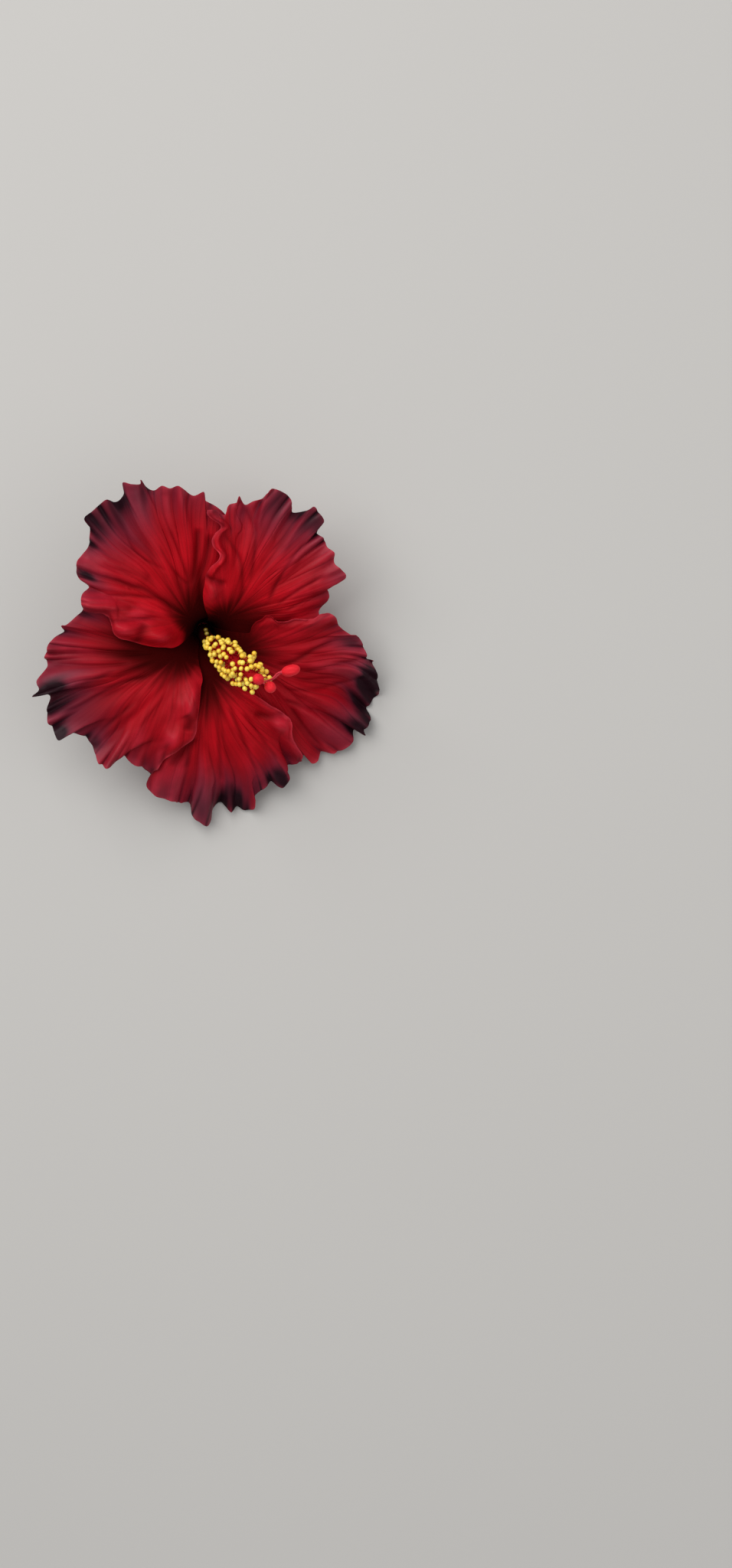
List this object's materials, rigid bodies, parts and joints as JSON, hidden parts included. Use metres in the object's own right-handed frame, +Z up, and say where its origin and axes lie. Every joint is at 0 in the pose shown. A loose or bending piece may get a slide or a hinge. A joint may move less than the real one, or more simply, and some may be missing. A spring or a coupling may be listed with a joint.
{
  "type": "hibiscus flower",
  "caption": "Picked red hibiscus bloom lying face up: ruffled overlapping petals, a long staminal column with anthers and stigmas, a calyx and a cut stalk.",
  "frame": {"origin": "on the surface that the flower lies on, under the middle of its bounding box", "axes": "+Z up from that surface; seen from above, +X points to the right petal and +Y points between the two upper petals; the flower's own axis leans 25 degrees from +Z towards +X and -Y"},
  "size_m": [0.1071, 0.1055, 0.057],
  "materials": {
    "petal": "satin",
    "anther": "matte",
    "style": "satin",
    "calyx": "satin",
    "stalk": "satin"
  },
  "bodies": {
    "root": {"petal_upper_left": "petal", "petal_upper_right": "petal", "petal_right": "petal", "petal_bottom": "petal", "petal_left": "petal", "staminal_column": "anther", "pistil": "style", "calyx": "calyx", "stalk": "stalk"}
  },
  "joints": []
}
